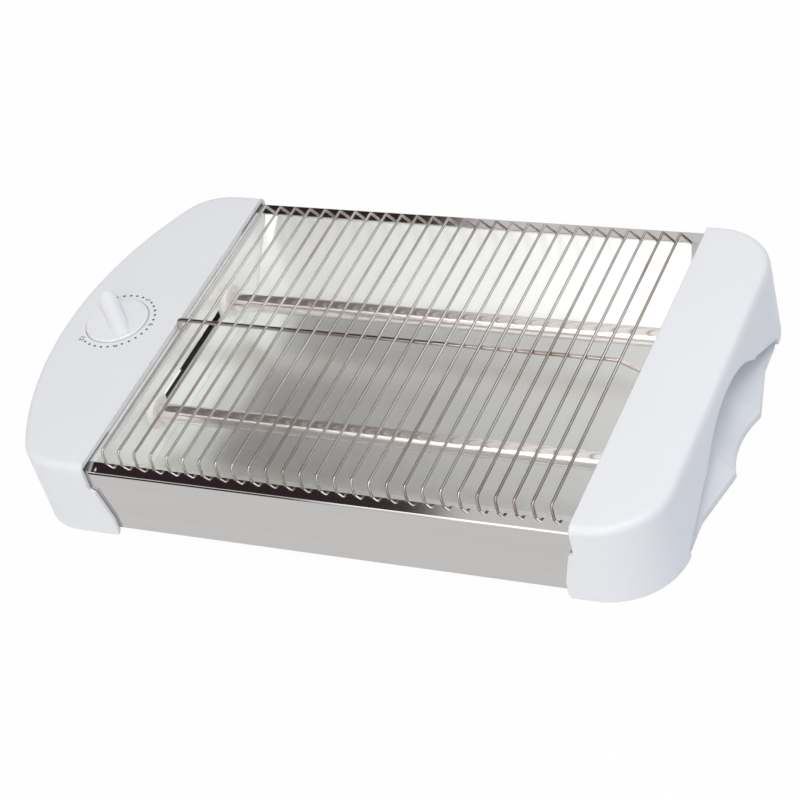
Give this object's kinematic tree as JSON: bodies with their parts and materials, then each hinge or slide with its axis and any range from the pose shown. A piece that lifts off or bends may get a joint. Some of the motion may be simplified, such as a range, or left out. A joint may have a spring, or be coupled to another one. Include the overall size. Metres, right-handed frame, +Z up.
{
  "type": "flat toaster",
  "caption": "Flat bread toaster with a wire grid over quartz heating tubes in a bright trough, a plastic cap with a timer knob and a plastic cap with a hand grip.",
  "frame": {"origin": "on the ground under the middle of the overall box", "axes": "+X along the length towards the grip cap, -Y to the front, +Z up"},
  "size_m": [0.3838, 0.2268, 0.0594],
  "materials": {
    "white_plastic": "satin moulded",
    "base_plastic": "matt moulded",
    "panel_steel": "satin brushed",
    "bright_steel": "bright rolled",
    "grid_chrome": "bright plated",
    "quartz": "milky",
    "heater_alloy": "dull",
    "ceramic": "unglazed",
    "zinc_steel": "zinc plated",
    "knob_plastic": "satin gloss",
    "timer_case": "matt moulded",
    "block_plastic": "matt moulded",
    "lead_sleeve": "woven sleeve",
    "rubber": "matt"
  },
  "bodies": {
    "case": {"left_cap": "white_plastic", "right_cap": "white_plastic", "left_base": "base_plastic", "right_base": "base_plastic", "front_panel": "panel_steel", "rear_panel": "panel_steel", "bottom_plate": "panel_steel", "reflector": "bright_steel", "left_end_plate": "bright_steel", "right_end_plate": "bright_steel", "grid_wires": "grid_chrome", "cross_wire": "grid_chrome", "front_tube": "quartz", "rear_tube": "quartz", "front_coil": "heater_alloy", "rear_coil": "heater_alloy", "left_holders": "ceramic", "right_holders": "ceramic", "holder_rings": "zinc_steel", "jumper_bar": "zinc_steel", "timer_body": "timer_case", "timer_screws": "zinc_steel", "terminal_block": "block_plastic", "lead_wires": "lead_sleeve", "cord_gland": "block_plastic", "feet": "rubber", "base_screws": "zinc_steel", "cap_screws": "zinc_steel", "frame_screws": "zinc_steel"},
    "knob": {"timer_shaft": "zinc_steel", "timer_knob": "knob_plastic"}
  },
  "joints": [
    {"name": "timer_turn", "type": "hinge", "parent": "case", "child": "knob", "pos_m": [-0.1601, -0.002, 0.0487], "axis": [0, 0, -1], "range_deg": [0, 260]}
  ]
}
